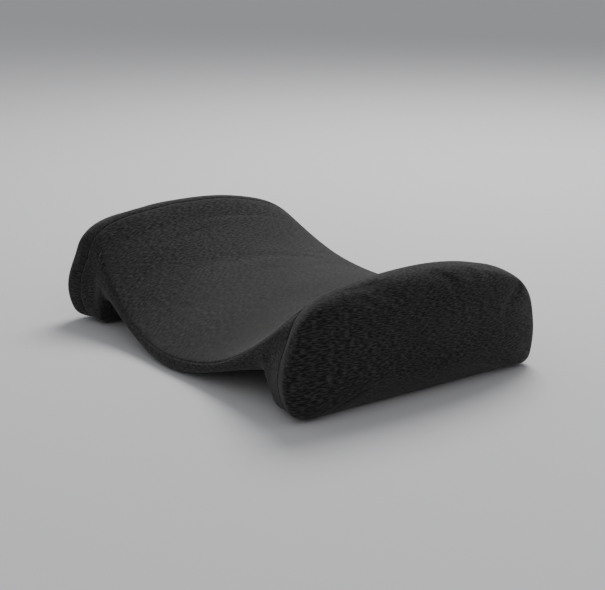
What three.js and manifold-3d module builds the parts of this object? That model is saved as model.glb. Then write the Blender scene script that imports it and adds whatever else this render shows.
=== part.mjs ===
// Contoured lumbar support cushion with a removable zipped cover and two buckled straps.
// Millimetres, +Z up. X runs across the cushion, Y along the spine, with the thin lower lip at -Y.
// The cushion lies on its back, and the origin is the middle of its footprint.
import * as THREE from 'three';
import { mergeVertices } from 'three/addons/utils/BufferGeometryUtils.js';
import Module from 'manifold-3d';

// ---- Driving dimensions of the cushion ----
const cushionWidth = 445;
const cushionLength = 312;
const ridgeSpacing = 380;        // between the crests of the two wings
const wingHeightFront = 108;
const wingHeightPeak = 123;
const wingHeightBack = 90;
const wingPeakY = 10;
const saddleHeight = 62;         // highest point of the channel between the wings
const saddleY = 28;
const lipHeight = 15;            // thickness of the lower lip on the centre line
const backEdgeThickness = 15;    // between the hollow's roof and the upper edge's top
const channelPower = 2.7;        // how late the channel floor turns up into the wings
const wingSetback = 22;          // how far the wings' lower ends stand behind the lip
const setbackPower = 1.5;        // how late that setback starts, towards the wings
const wingBulge = 19;            // how far the wings' end walls swell out
const bulgePower = 9;
const noseShare = 0.088;         // how far the wings' lower ends swell forward, as a share of their length
const heelShare = 0.043;         // the same for their upper ends
const lipBulge = 1.5;
const backBulge = 5;
const domePower = 4.1;           // squareness of the wings' outer sides
const domeCentreHeight = 62;

// ---- Hollow under the cushion ----
const archDepth = 30;
const archFrontDepth = 41;
const footFlatWidth = 20;        // from the foot of the hollow's wall to under the wing's crest
const archWallWidth = 20;
const tongueWidth = 115;         // width scale of the tongue that comes down to the ground
const tongueFlatLength = 21;     // the part of the tongue that keeps its full depth
const tongueLength = 73;

// ---- Edge roundings ----
const lipEdgeRadius = 5;
const wingEdgeRadius = 34;
const footEdgeRadius = 13;
const lipUnderRadius = 5;
const edgeReach = 1.3;           // how far an edge's curve runs along the top, as a share of its radius
const footReach = 1.2;           // the same along the underside
const largestEdgeShare = 0.45;   // no rounding takes more of an end wall's height than this
const largestFootShare = 0.4;

// ---- Cover ----
const coverThickness = 1.6;
const linerThickness = 0.5;
const gap = 0.3;                 // clearance between touching pieces
const seamHalfGap = 0.2;

// ---- Zip ----
const zipInset = 54;             // from the upper edge of the cushion to the zip
const zipHalfLength = 105;
const slitWidth = 12;
const tapeWidth = 11;
const tapeThickness = 0.8;
const tapeOverlap = 7;           // length of tape beyond each end of the slit
const coilWidth = 2;
const coilHeight = 1.6;
const sliderLength = 11;
const sliderWidth = 8.4;
const sliderWall = 1.2;
const pullLength = 24;
const pullWidth = 7;
const pullThickness = 1.4;
const pullPinRadius = 0.8;
const stopLength = 3;
const slitEndRoom = 2;           // between a stop and the end of the slit
const bridgeHeight = 4.4;        // the arch on the slider that carries the pull's pin
const bridgePostWidth = 1.2;
const bridgePostHalfLength = 1.3;
const bridgeHalfWidth = 2.6;
const pinInset = 1.4;            // from the foot of the bridge to the middle of the pin
const eyeRadius = 2;
const neckLength = 5;
const neckOverlap = 0.6;
const pullSlotLength = 5;
const pullSlotHalfWidth = 1.2;
const pullSlotInset = 3;

// ---- Straps ----
const strapPlaces = { lower: 0.18, upper: 0.62 };   // shares of the roof between tongue and zip
const webbingWidth = 25;
const webbingThickness = 1.6;
const webbingDrop = 16;          // how far the webbing hangs below the roof of the hollow
const anchorLength = 20;
const anchorInset = 6;
const strapSlopeRun = 14;        // the stretch where the webbing comes down from the roof
const patchInset = 1.5;
const patchThickness = 1.2;
const adjusterX = -79;
const adjusterLength = 20;
const barWidth = 4;
const hardwareWall = 3;
const keeperThickness = 2.4;
const buckleWindowFront = 10;    // from the female half's mouth to its side windows
const buckleWindowBack = 4;      // from the prongs' tips to the windows' far ends
const guideShare = 0.7;          // length of the middle guide, as a share of the prongs'
const guideInset = 1;
const webbingTail = 4;           // the webbing's end, past the middle of a buckle's loop
const weldOverlap = 0.01;        // pieces of one moulding run into each other by this much
const buckleWidth = 36;
const femaleLength = 38;
const plateThickness = 4.6;
const prongLength = 26;
const prongWidth = 6;
const maleBaseLength = 9;
const loopLength = 22;
const maleBaseX = 13;             // where the two halves of a buckle meet

// ---- Blank care label ----
const labelWidth = 34;
const labelDepth = 20;
const labelThickness = 0.5;

const ridgeX = ridgeSpacing / 2;
const archHalfWidth = ridgeX - footFlatWidth;
const archRoofHalfWidth = archHalfWidth - archWallWidth;
const lipY = -cushionLength / 2 + lipBulge;
const backY = cushionLength / 2 - backBulge;
const backEdgeHeight = archDepth + backEdgeThickness;
const midY = (lipY + wingSetback + backY) / 2;
const tongueStartY = lipY + tongueFlatLength;
const tongueEndY = lipY + tongueLength;
const zipY = backY - zipInset;
const slitFrontY = zipY - slitWidth / 2;

const lerp = (a, b, t) => a + (b - a) * t;
const clamp01 = (t) => Math.min(Math.max(t, 0), 1);
const smooth = (t) => clamp01(t) ** 2 * (3 - 2 * clamp01(t));

// A smooth hump along Y that starts at one height, peaks, and ends at another height.
function hump(y, startY, startZ, peakY, peakZ, endY, endZ) {
  const beforePeak = y < peakY;
  const reach = beforePeak ? peakY - startY : endY - peakY;
  const foot = beforePeak ? startZ : endZ;
  return peakZ - (peakZ - foot) * Math.min(Math.abs(y - peakY) / reach, 1.15) ** 2;
}

// Height of the top surface.
function topHeight(x, y) {
  const across = Math.min(Math.abs(x) / ridgeX, 1) ** channelPower;
  const floor = hump(y, lipY, lipHeight, saddleY, saddleHeight, backY, backEdgeHeight);
  const ridge = hump(y, lipY + wingSetback, wingHeightFront, wingPeakY, wingHeightPeak, backY, wingHeightBack);
  return lerp(floor, ridge, across);
}

// Height of the underside: a flat-roofed hollow between two feet, and a tongue at the lip.
function undersideHeight(x, y) {
  const wall = 1 - smooth((Math.abs(x) - archRoofHalfWidth) / (archHalfWidth - archRoofHalfWidth));
  const nearLip = 1 - smooth((y - tongueStartY) / (tongueEndY - tongueStartY));
  const depth = lerp(archDepth, archFrontDepth, nearLip);
  const tongue = Math.exp(-((x / tongueWidth) ** 2)) * nearLip;
  return depth * wall * (1 - tongue);
}

// Points of a curved corner from a to c with b as its control point, without the last point.
function corner(a, b, c, steps) {
  const points = [];
  for (let i = 0; i < steps; i += 1) {
    const t = i / steps;
    const [u, v, w] = [(1 - t) ** 2, 2 * t * (1 - t), t * t];
    points.push([u * a[0] + v * b[0] + w * c[0], u * a[1] + v * b[1] + w * c[1]]);
  }
  return points;
}

const footSteps = 3;
const wallSteps = 2;
const edgeSteps = 4;
const topSteps = 8;

// Closed outline of the cushion in the YZ plane at one X, starting under the lower lip.
function sectionOutline(x) {
  const t = Math.min(Math.abs(x) / ridgeX, 1);
  const frontY = lipY + wingSetback * t ** setbackPower;
  const frontTop = topHeight(x, frontY);
  const backTop = topHeight(x, backY);
  const frontBottom = undersideHeight(x, frontY);
  const backBottom = undersideHeight(x, backY);
  const bulge = lerp(lipBulge, wingBulge, t ** bulgePower);
  const frontWall = frontTop - frontBottom;
  const backWall = backTop - backBottom;
  const frontEdge = Math.min(lerp(lipEdgeRadius, wingEdgeRadius, t ** 8), frontWall * largestEdgeShare);
  const backEdge = Math.min(lerp(lipEdgeRadius * 2, wingEdgeRadius, t ** 6), backWall * largestEdgeShare);
  const frontFoot = Math.min(lerp(lipUnderRadius, footEdgeRadius, t ** 2), frontWall * largestFootShare);
  const backFoot = Math.min(lerp(lipUnderRadius, footEdgeRadius, t ** 2), backWall * largestFootShare);

  const footStart = [frontY + frontFoot * footReach, frontBottom];
  const wallStart = [frontY - bulge * 0.6, frontBottom + frontFoot];
  const wallEnd = [frontY - bulge * 0.3, frontTop - frontEdge];
  const topStart = [frontY + frontEdge * edgeReach, topHeight(x, frontY + frontEdge * edgeReach)];
  const topEnd = [backY - backEdge * edgeReach, topHeight(x, backY - backEdge * edgeReach)];
  const backWallStart = [backY + backBulge * 0.3, backTop - backEdge];
  const backWallEnd = [backY + backBulge * 0.5, backBottom + backFoot];
  const backFootEnd = [backY - backFoot * footReach, backBottom];
  const outline = [
    ...corner(footStart, [frontY, frontBottom], wallStart, footSteps),
    ...corner(wallStart, [frontY - bulge * 1.5, (wallStart[1] + wallEnd[1]) / 2], wallEnd, wallSteps),
    ...corner(wallEnd, [frontY, frontTop], topStart, edgeSteps),
  ];
  for (let i = 0; i < topSteps; i += 1) {
    const y = lerp(topStart[0], topEnd[0], i / topSteps);
    outline.push([y, topHeight(x, y)]);
  }
  outline.push(
    ...corner(topEnd, [backY, backTop], backWallStart, edgeSteps),
    ...corner(backWallStart, [backY + backBulge * 1.5, (backWallStart[1] + backWallEnd[1]) / 2],
      backWallEnd, wallSteps),
    ...corner(backWallEnd, [backY, backBottom], backFootEnd, footSteps),
  );
  // Rows of the underside; two of them are the edges of the zip's slit.
  const middleRow = lerp(slitFrontY, tongueEndY, 0.5);
  const rows = [backFootEnd[0], slitFrontY + slitWidth, slitFrontY, middleRow, tongueEndY];
  const frontRows = [0.35, 0.7, 0.9].map((f) => lerp(tongueEndY, footStart[0], f));
  for (const y of [...rows, ...frontRows]) {
    outline.push([y, undersideHeight(x, y)]);
  }
  return outline;
}

// ---- The cushion's skin as one closed grid of points, from left to right ----
const rightStations = [0, 0.28, 0.54, 0.78, 1].map((f) => f * zipHalfLength);
rightStations.push(lerp(zipHalfLength, archRoofHalfWidth, 0.55), archRoofHalfWidth);
const archWallSteps = 3;
for (let i = 1; i <= archWallSteps; i += 1) {
  rightStations.push(lerp(archRoofHalfWidth, archHalfWidth, i / archWallSteps));
}
rightStations.push(ridgeX);
const leftStations = rightStations.slice(1).reverse().map((x) => -x);
const stations = [...leftStations, ...rightStations];
const domeAngles = [7, 23, 42, 60, 74, 84].map((a) => a * Math.PI / 180);

function domeRing(side, angle) {
  const scale = Math.cos(angle) ** (2 / domePower);
  const x = ridgeX + (cushionWidth / 2 - ridgeX) * Math.sin(angle) ** (2 / domePower);
  const swell = Math.sin(Math.min(angle * 4, Math.PI / 2)) * Math.cos(angle);
  return sectionOutline(ridgeX).map(([y, z]) => new THREE.Vector3(
    side * x,
    lerp(midY, y, scale + swell * (y < midY ? noseShare : heelShare)),
    lerp(domeCentreHeight, z, scale)));
}

const rings = [
  ...domeAngles.slice().reverse().map((angle) => domeRing(-1, angle)),
  ...stations.map((x) => sectionOutline(x).map(([y, z]) => new THREE.Vector3(x, y, z))),
  ...domeAngles.map((angle) => domeRing(1, angle)),
];
const loopCount = rings[0].length;
const points = rings.flat();
const leftPole = points.push(new THREE.Vector3(-cushionWidth / 2, midY, domeCentreHeight)) - 1;
const rightPole = points.push(new THREE.Vector3(cushionWidth / 2, midY, domeCentreHeight)) - 1;

// Rows of the loop where one panel of the cover ends and the next begins.
const frontSeam = footSteps + wallSteps + edgeSteps / 2;
const backSeam = footSteps + wallSteps + edgeSteps + topSteps + edgeSteps / 2;
const underStart = footSteps * 2 + wallSteps * 2 + edgeSteps * 2 + topSteps;
const slitRow = underStart + 1;

function panelOf(ring, row) {
  const x = (rings[ring][0].x + rings[ring + 1][0].x) / 2;
  if (Math.abs(x) > ridgeX) {
    return x < 0 ? 'left_side_panel' : 'right_side_panel';
  }
  if (row < frontSeam) {
    return 'lower_end_panel';
  }
  if (row < backSeam) {
    return 'face_panel';
  }
  if (row < underStart) {
    return 'upper_end_panel';
  }
  return row === slitRow && Math.abs(x) < zipHalfLength ? 'slit' : 'back_panel';
}

const faces = [];
for (let ring = 0; ring < rings.length - 1; ring += 1) {
  for (let row = 0; row < loopCount; row += 1) {
    const nextRow = (row + 1) % loopCount;
    const [a, b] = [ring * loopCount + row, ring * loopCount + nextRow];
    const [c, d] = [a + loopCount, b + loopCount];
    const panel = panelOf(ring, row);
    faces.push({ panel, corners: [a, d, b] }, { panel, corners: [a, c, d] });
  }
}
for (let row = 0; row < loopCount; row += 1) {
  const nextRow = (row + 1) % loopCount;
  const lastRing = (rings.length - 1) * loopCount;
  faces.push({ panel: 'left_side_panel', corners: [row, nextRow, leftPole] });
  faces.push({ panel: 'right_side_panel', corners: [lastRing + nextRow, lastRing + row, rightPole] });
}

function faceNormal([a, b, c]) {
  const ab = points[b].clone().sub(points[a]);
  return ab.cross(points[c].clone().sub(points[a]));
}

// The corners of every face run the same way round; this turns them all outwards.
const volume = faces.reduce((sum, face) => sum + faceNormal(face.corners).dot(points[face.corners[0]]), 0);
if (volume < 0) {
  faces.forEach((face) => face.corners.reverse());
}
const normals = points.map(() => new THREE.Vector3());
for (const face of faces) {
  const normal = faceNormal(face.corners).normalize();
  face.corners.forEach((corner) => normals[corner].add(normal));
}
normals.forEach((normal) => normal.normalize());

function geometryFrom(corners) {
  const geometry = new THREE.BufferGeometry();
  geometry.setAttribute('position', new THREE.Float32BufferAttribute(corners.flatMap((p) => p.toArray()), 3));
  return mergeVertices(geometry, 1e-4);
}

// A closed layer of the skin between two depths, over the faces that are kept.
function layer(keep, outerDepth, innerDepth, borderGap) {
  const kept = faces.filter((face) => keep(face.panel));
  const edges = new Map();
  const inward = new Map();
  for (const { corners: [a, b, c] } of kept) {
    const centre = points[a].clone().add(points[b]).add(points[c]).divideScalar(3);
    for (const [from, to] of [[a, b], [b, c], [c, a]]) {
      edges.set(`${from},${to}`, [from, to]);
      const pull = inward.get(from) ?? new THREE.Vector3();
      inward.set(from, pull.add(centre.clone().sub(points[from]).normalize()));
    }
  }
  const border = [...edges.values()].filter(([from, to]) => !edges.has(`${to},${from}`));
  const onBorder = new Set(border.flat());
  const place = (index, depth) => {
    const point = points[index].clone().addScaledVector(normals[index], -depth);
    if (onBorder.has(index)) {
      const pull = inward.get(index).clone();
      pull.addScaledVector(normals[index], -pull.dot(normals[index])).normalize();
      point.addScaledVector(pull, borderGap * Math.SQRT2);
    }
    return point;
  };
  const corners = [];
  for (const { corners: [a, b, c] } of kept) {
    corners.push(place(a, outerDepth), place(b, outerDepth), place(c, outerDepth));
    corners.push(place(c, innerDepth), place(b, innerDepth), place(a, innerDepth));
  }
  for (const [from, to] of border) {
    const [outFrom, outTo] = [place(from, outerDepth), place(to, outerDepth)];
    const [inFrom, inTo] = [place(from, innerDepth), place(to, innerDepth)];
    corners.push(outTo, outFrom, inFrom, outTo, inFrom, inTo);
  }
  return geometryFrom(corners);
}

function solidCore(depth) {
  const corners = faces.flatMap(({ corners: ids }) => (
    ids.map((index) => points[index].clone().addScaledVector(normals[index], -depth))));
  return geometryFrom(corners);
}

// ---- Solid shapes for the hardware ----
const wasm = await Module();
wasm.setup();

function toSolid(geometry) {
  const plain = geometry.clone();
  plain.deleteAttribute('normal');
  plain.deleteAttribute('uv');
  const merged = mergeVertices(plain, 1e-4);
  return new wasm.Manifold(new wasm.Mesh({
    numProp: 3,
    vertProperties: new Float32Array(merged.attributes.position.array),
    triVerts: new Uint32Array(merged.index.array),
  }));
}

function fromSolid(solid) {
  const mesh = solid.getMesh();
  const geometry = new THREE.BufferGeometry();
  geometry.setAttribute('position', new THREE.BufferAttribute(mesh.vertProperties, 3));
  geometry.setIndex(new THREE.BufferAttribute(mesh.triVerts, 1));
  return geometry;
}

function block([x0, x1], [y0, y1], [z0, z1]) {
  const box = new THREE.BoxGeometry(x1 - x0, y1 - y0, z1 - z0);
  return box.translate((x0 + x1) / 2, (y0 + y1) / 2, (z0 + z1) / 2);
}

// An outline in the XZ plane, pushed from y0 to y1.
function extrudeAlongY(outline, y0, y1) {
  const shape = new THREE.Shape(outline.map(([x, z]) => new THREE.Vector2(x, z)));
  const solid = new THREE.ExtrudeGeometry(shape, { depth: y1 - y0, bevelEnabled: false });
  return solid.rotateX(Math.PI / 2).translate(0, y1, 0);
}

// A ribbon of even thickness that follows a bent line in the XZ plane.
function ribbonOutline(line, thickness) {
  const offset = (side) => line.map(([x, z], i) => {
    const before = line[Math.max(i - 1, 0)];
    const after = line[Math.min(i + 1, line.length - 1)];
    const incoming = new THREE.Vector2(x - before[0], z - before[1]).normalize();
    const outgoing = new THREE.Vector2(after[0] - x, after[1] - z).normalize();
    const along = incoming.add(outgoing).normalize();
    return [x - along.y * side * thickness / 2, z + along.x * side * thickness / 2];
  });
  return [...offset(-1), ...offset(1).reverse()];
}

const cushion = new THREE.Group();

function addPart(name, geometry, finish, parent = cushion) {
  const mesh = new THREE.Mesh(geometry, finish);
  mesh.name = name;
  parent.add(mesh);
  return mesh;
}

const foam = new THREE.MeshStandardMaterial({ color: 0xe9e2d2, roughness: 0.95, metalness: 0 });
const jersey = new THREE.MeshStandardMaterial({ color: 0xc9c9c6, roughness: 0.95, metalness: 0 });
const charcoalFabric = new THREE.MeshStandardMaterial({ color: 0x2e2e2e, roughness: 0.95, metalness: 0 });
const meshFabric = new THREE.MeshStandardMaterial({ color: 0x1c1c1d, roughness: 0.9, metalness: 0 });
const blackTape = new THREE.MeshStandardMaterial({ color: 0x151516, roughness: 0.85, metalness: 0 });
const blackNylon = new THREE.MeshStandardMaterial({ color: 0x121213, roughness: 0.45, metalness: 0 });
const blackMetal = new THREE.MeshStandardMaterial({ color: 0x2a2a2c, roughness: 0.35, metalness: 0.9 });
const whiteSatin = new THREE.MeshStandardMaterial({ color: 0xe8e8e4, roughness: 0.6, metalness: 0 });

// ---- Foam, liner and cover ----
const linerOuter = coverThickness + gap;
const linerInner = linerOuter + linerThickness;
addPart('foam_core', solidCore(linerInner + gap), foam);
addPart('inner_liner', layer((panel) => panel !== 'slit', linerOuter, linerInner, seamHalfGap), jersey);
for (const name of ['face_panel', 'left_side_panel', 'right_side_panel', 'lower_end_panel', 'upper_end_panel']) {
  addPart(name, layer((panel) => panel === name, 0, coverThickness, seamHalfGap), charcoalFabric);
}
addPart('back_panel', layer((panel) => panel === 'back_panel', 0, coverThickness, seamHalfGap), meshFabric);

// ---- Zip, sewn under the roof of the hollow ----
const tapeTop = archDepth - gap;
const tapeBottom = tapeTop - tapeThickness;
const coilTop = tapeBottom - gap;
const coilBottom = coilTop - coilHeight;
const tapeHalfLength = zipHalfLength + tapeOverlap;
const tapeHalfGap = gap;
const coilHalfLength = zipHalfLength - stopLength - slitEndRoom;
for (const [name, side] of [['front', -1], ['back', 1]]) {
  const inner = zipY + side * tapeHalfGap;
  const tapeSpan = [inner, inner + side * tapeWidth].sort((a, b) => a - b);
  const coilSpan = [inner, inner + side * coilWidth].sort((a, b) => a - b);
  addPart(`zip_tape_${name}`,
    block([-tapeHalfLength, tapeHalfLength], tapeSpan, [tapeBottom, tapeTop]), blackTape);
  addPart(`zip_coil_${name}`,
    block([-coilHalfLength, coilHalfLength], coilSpan, [coilBottom, coilTop]), blackNylon);
}
const stopHalfWidth = coilWidth + gap;
for (const [name, side] of [['left', -1], ['right', 1]]) {
  const inner = side * (coilHalfLength + gap);
  const span = [inner, inner + side * stopLength].sort((a, b) => a - b);
  addPart(`zip_stop_${name}`,
    block(span, [zipY - stopHalfWidth, zipY + stopHalfWidth], [coilBottom, coilTop]), blackMetal);
}

// The slider rides over both coil rows and carries a bridge with the pull's pin.
const slider = new THREE.Group();
const sliderX = -coilHalfLength + sliderLength / 2;
slider.position.set(sliderX, zipY, coilBottom - gap);
cushion.add(slider);
const cheekInner = coilWidth + 2 * gap;
const cheekOuter = sliderWidth / 2;
const pinDrop = sliderWall + bridgeHeight - pinInset;
const sliderHalf = sliderLength / 2;
let sliderSolid = toSolid(block([-sliderHalf, sliderHalf], [-cheekOuter, cheekOuter], [-sliderWall, 0]));
for (const side of [-1, 1]) {
  const cheek = [side * cheekInner, side * cheekOuter].sort((a, b) => a - b);
  sliderSolid = sliderSolid.add(toSolid(block([-sliderHalf, sliderHalf], cheek, [-sliderWall, coilHeight])));
  const post = [side * bridgeHalfWidth, side * (bridgeHalfWidth - bridgePostWidth)].sort((a, b) => a - b);
  sliderSolid = sliderSolid.add(toSolid(block(
    [-bridgePostHalfLength, bridgePostHalfLength], post, [-sliderWall - bridgeHeight, -sliderWall])));
}
const pinLength = (bridgeHalfWidth - bridgePostWidth / 2) * 2;
const pinSides = 16;
const pin = new THREE.CylinderGeometry(pullPinRadius, pullPinRadius, pinLength, pinSides);
sliderSolid = sliderSolid.add(toSolid(pin.translate(0, 0, -pinDrop)));
addPart('zip_slider', fromSolid(sliderSolid), blackMetal, slider);

// The pull turns on the pin; it lies along the zip at rest.
const eyeHalfWidth = bridgeHalfWidth - bridgePostWidth - gap;
const eyeSides = 20;
const eye = new THREE.CylinderGeometry(eyeRadius, eyeRadius, eyeHalfWidth * 2, eyeSides);
const eyeBore = new THREE.CylinderGeometry(
  pullPinRadius + gap, pullPinRadius + gap, eyeHalfWidth * 3, eyeSides);
const neck = block([0, neckLength], [-eyeHalfWidth, eyeHalfWidth], [-pullThickness / 2, pullThickness / 2]);
const blade = block([neckLength - neckOverlap, pullLength], [-pullWidth / 2, pullWidth / 2],
  [-pullThickness / 2, pullThickness / 2]);
const slotEnd = pullLength - pullSlotInset;
const bladeSlot = block([slotEnd - pullSlotLength, slotEnd], [-pullSlotHalfWidth, pullSlotHalfWidth],
  [-pullThickness, pullThickness]);
const pullSolid = toSolid(eye).add(toSolid(neck)).subtract(toSolid(eyeBore))
  .add(toSolid(blade)).subtract(toSolid(bladeSlot));
const pullPivot = new THREE.Group();
pullPivot.position.set(0, 0, -pinDrop);
slider.add(pullPivot);
addPart('zip_pull', fromSolid(pullSolid), blackMetal, pullPivot);

// ---- Straps across the hollow ----
const webbingZ = archDepth - webbingDrop;
const webbingTop = webbingZ + webbingThickness / 2;
const webbingBottom = webbingZ - webbingThickness / 2;
const sewnZ = archDepth - gap - webbingThickness / 2;
const sewnOuterX = archRoofHalfWidth - anchorInset;
const sewnInnerX = sewnOuterX - anchorLength;
const bendX = sewnInnerX - strapSlopeRun;
const plateBottom = webbingTop + gap;
const plateTop = plateBottom + plateThickness;
const keeperTop = webbingBottom - gap;
const keeperBottom = keeperTop - keeperThickness;
const slotHalf = webbingWidth / 2 + gap * 2;
const railHalf = buckleWidth / 2;
const maleLoopX = maleBaseX + maleBaseLength;
const femaleFrontX = maleBaseX - gap * 2;
const femaleBackX = femaleFrontX - femaleLength;

// A loop that wraps the webbing: a top plate with an open window, two rails and a keeper bar below.
function webbingLoop(x0, x1) {
  const rails = [-1, 1].map((side) => toSolid(block(
    [x0, x1], [side * slotHalf, side * railHalf].sort((a, b) => a - b), [keeperBottom, plateTop])));
  const topBars = [[x0, x0 + barWidth], [x1 - barWidth, x1]].map((span) => toSolid(block(
    span, [-railHalf, railHalf], [plateBottom, plateTop])));
  const middle = (x0 + x1) / 2;
  const keeper = toSolid(block(
    [middle - barWidth / 2, middle + barWidth / 2], [-railHalf, railHalf], [keeperBottom, keeperTop]));
  return [...rails, ...topBars].reduce((sum, piece) => sum.add(piece), keeper);
}

function femaleBuckle() {
  const wall = hardwareWall;
  const cavityHalf = railHalf - wall;
  const shellZ = [plateBottom - wall + gap, plateTop + wall - gap];
  const cavityZ = [plateBottom - gap, plateTop + gap];
  const shell = toSolid(block([femaleBackX, femaleFrontX], [-railHalf, railHalf], shellZ));
  const cavity = toSolid(block([femaleBackX + wall, femaleFrontX + wall], [-cavityHalf, cavityHalf], cavityZ));
  const windowSpan = [femaleFrontX - prongLength + buckleWindowBack, femaleFrontX - buckleWindowFront];
  const windows = toSolid(block(windowSpan, [-railHalf * 2, railHalf * 2], cavityZ));
  const loop = webbingLoop(femaleBackX - loopLength, femaleBackX + weldOverlap);
  return fromSolid(shell.subtract(cavity).subtract(windows).add(loop));
}

function maleBuckle() {
  const armOuter = railHalf - hardwareWall - gap * 2;
  let solid = toSolid(block([maleBaseX, maleLoopX + weldOverlap], [-railHalf, railHalf], [plateBottom, plateTop]));
  for (const side of [-1, 1]) {
    const span = [side * armOuter, side * (armOuter - prongWidth)].sort((a, b) => a - b);
    solid = solid.add(toSolid(block([maleBaseX - prongLength, maleBaseX + weldOverlap], span, [plateBottom, plateTop])));
  }
  const guide = [-prongWidth / 2, prongWidth / 2];
  solid = solid.add(toSolid(block([maleBaseX - prongLength * guideShare, maleBaseX + weldOverlap], guide,
    [plateBottom + guideInset, plateTop - guideInset])));
  return fromSolid(solid.add(webbingLoop(maleLoopX, maleLoopX + loopLength)));
}

const webbingEnds = {
  left: femaleBackX - loopLength / 2 + webbingTail,
  right: maleLoopX + loopLength / 2 - webbingTail,
};
for (const [name, place] of Object.entries(strapPlaces)) {
  const strap = new THREE.Group();
  strap.position.set(0, lerp(tongueEndY, slitFrontY, place), 0);
  cushion.add(strap);
  for (const [sideName, side] of [['left', -1], ['right', 1]]) {
    const line = [
      [side * sewnOuterX, sewnZ],
      [side * sewnInnerX, sewnZ],
      [side * bendX, webbingZ],
      [webbingEnds[sideName], webbingZ],
    ];
    const outline = ribbonOutline(line, webbingThickness);
    addPart(`${name}_webbing_${sideName}`,
      extrudeAlongY(outline, -webbingWidth / 2, webbingWidth / 2), blackTape, strap);
    const patchX = [side * (sewnInnerX + patchInset), side * sewnOuterX].sort((a, b) => a - b);
    const patchTop = sewnZ - webbingThickness / 2 - gap;
    addPart(`${name}_anchor_patch_${sideName}`,
      block(patchX, [-webbingWidth / 2, webbingWidth / 2], [patchTop - patchThickness, patchTop]),
      blackTape, strap);
  }
  const adjuster = webbingLoop(adjusterX - adjusterLength / 2, adjusterX + adjusterLength / 2);
  addPart(`${name}_adjuster`, fromSolid(adjuster), blackNylon, strap);
  addPart(`${name}_buckle_female`, femaleBuckle(), blackNylon, strap);
  addPart(`${name}_buckle_male`, maleBuckle(), blackNylon, strap);
}

// ---- Blank care label, sewn beside the zip ----
const labelX = zipHalfLength - labelWidth / 2;
const labelY = slitFrontY - tapeWidth - labelDepth / 2;
addPart('care_label', block([labelX - labelWidth / 2, labelX + labelWidth / 2],
  [labelY - labelDepth / 2, labelY + labelDepth / 2],
  [archDepth - gap - labelThickness, archDepth - gap]), whiteSatin);

export default cushion;
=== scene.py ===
"""A contoured lumbar support cushion: moulded foam in a zipped woven cover, with two buckled straps.

The cushion lies on its back. X runs across it, Y along the spine, and the thin lower lip is at -Y.
"""

import bmesh
import bpy
import math
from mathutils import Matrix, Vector
from mathutils.bvhtree import BVHTree
from mathutils.kdtree import KDTree


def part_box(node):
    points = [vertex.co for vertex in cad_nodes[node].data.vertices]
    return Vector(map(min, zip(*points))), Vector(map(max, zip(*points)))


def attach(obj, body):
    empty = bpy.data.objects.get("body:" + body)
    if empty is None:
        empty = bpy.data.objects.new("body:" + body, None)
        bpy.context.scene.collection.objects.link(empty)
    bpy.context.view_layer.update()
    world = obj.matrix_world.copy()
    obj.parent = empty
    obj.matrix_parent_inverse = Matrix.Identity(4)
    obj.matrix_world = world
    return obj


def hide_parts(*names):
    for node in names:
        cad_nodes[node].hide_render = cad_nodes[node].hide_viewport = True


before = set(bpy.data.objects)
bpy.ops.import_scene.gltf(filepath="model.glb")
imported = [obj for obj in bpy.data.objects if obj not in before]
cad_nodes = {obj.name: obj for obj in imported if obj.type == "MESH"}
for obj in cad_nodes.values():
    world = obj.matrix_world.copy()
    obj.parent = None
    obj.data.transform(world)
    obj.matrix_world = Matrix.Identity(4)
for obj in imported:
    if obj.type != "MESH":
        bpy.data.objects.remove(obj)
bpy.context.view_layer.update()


# ---------------------------------------------------------------------------------------------
# Camera. It stands beside the right wing's lower end and looks along the channel from a little
# above the cushion, with a long lens.
# ---------------------------------------------------------------------------------------------
AIM = Vector((0.0063, 0.014, 0.050))
CAMERA_AZIMUTH = math.radians(53.5)
CAMERA_ELEVATION = math.radians(15.8)
CAMERA_DISTANCE = 1.47
CAMERA_LENS = 81.8

towards_camera = Vector((
    math.sin(CAMERA_AZIMUTH) * math.cos(CAMERA_ELEVATION),
    -math.cos(CAMERA_AZIMUTH) * math.cos(CAMERA_ELEVATION),
    math.sin(CAMERA_ELEVATION),
))
bpy.ops.object.camera_add(location=AIM + towards_camera * CAMERA_DISTANCE)
camera = bpy.context.object
camera.name = "camera"
camera.rotation_euler = towards_camera.to_track_quat("Z", "Y").to_euler()
camera.data.lens = CAMERA_LENS
bpy.context.scene.camera = camera


# ---------------------------------------------------------------------------------------------
# Floor and light. A pale sheet of paper, a large soft light above and behind the cushion, and a
# weaker one from the front. The light comes mostly from behind, so the near wing's side is dark.
# ---------------------------------------------------------------------------------------------
FLOOR_SIZE = 14.0
FLOOR_DROP = 0.0005
FLOOR_COLOUR = (0.66, 0.66, 0.67, 1.0)
SKY_COLOUR = (0.97, 0.98, 1.0, 1.0)
SKY_STRENGTH = 0.45
PAPER_ROUGHNESS = 0.85


def select_only(piece):
    bpy.ops.object.select_all(action="DESELECT")
    bpy.context.view_layer.objects.active = piece
    piece.select_set(True)


def soft_light(name, place, size, watts):
    bpy.ops.object.light_add(type="AREA", location=place)
    light = bpy.context.object
    light.name = name
    light.rotation_euler = Vector(place).to_track_quat("Z", "Y").to_euler()
    light.data.shape = "DISK"
    light.data.size = size
    light.data.energy = watts


bpy.ops.object.select_all(action="DESELECT")
bpy.ops.mesh.primitive_plane_add(size=FLOOR_SIZE, location=(0, 0, 0))
floor = bpy.context.object
floor.name = "floor"
for vertex in floor.data.vertices:
    vertex.co.z = -FLOOR_DROP
paper = bpy.data.materials.new("pale_paper")
paper.use_nodes = True
paper.node_tree.nodes["Principled BSDF"].inputs["Base Color"].default_value = FLOOR_COLOUR
paper.node_tree.nodes["Principled BSDF"].inputs["Roughness"].default_value = PAPER_ROUGHNESS
floor.data.materials.append(paper)

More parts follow.
